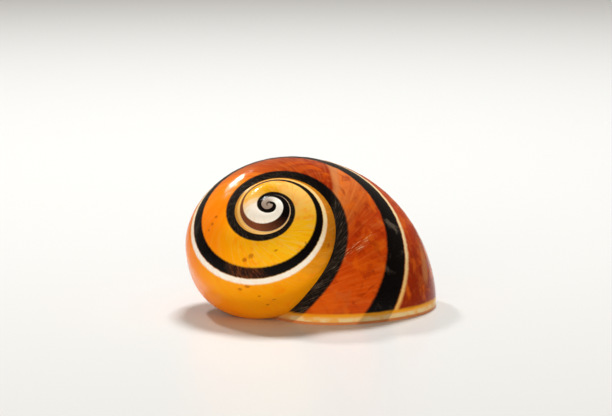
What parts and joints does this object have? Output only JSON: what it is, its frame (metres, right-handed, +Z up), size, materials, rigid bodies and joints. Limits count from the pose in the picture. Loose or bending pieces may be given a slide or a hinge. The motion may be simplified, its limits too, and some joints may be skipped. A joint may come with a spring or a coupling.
{
  "type": "land snail shell",
  "caption": "Empty land snail shell, globe-shaped and coiled to the right, glossy orange and yellow with dark spiral bands, lying on its open mouth.",
  "frame": {"origin": "on the surface the shell lies on, under the middle of its box", "axes": "+Z up; +X to the right when the spire faces the viewer, who looks along +Y; the mouth lies in the plane z = 0 and opens along -Z"},
  "size_m": [0.0236, 0.019, 0.014],
  "materials": {
    "shell": "glossy"
  },
  "bodies": {
    "root": {"shell": "shell"}
  },
  "joints": []
}
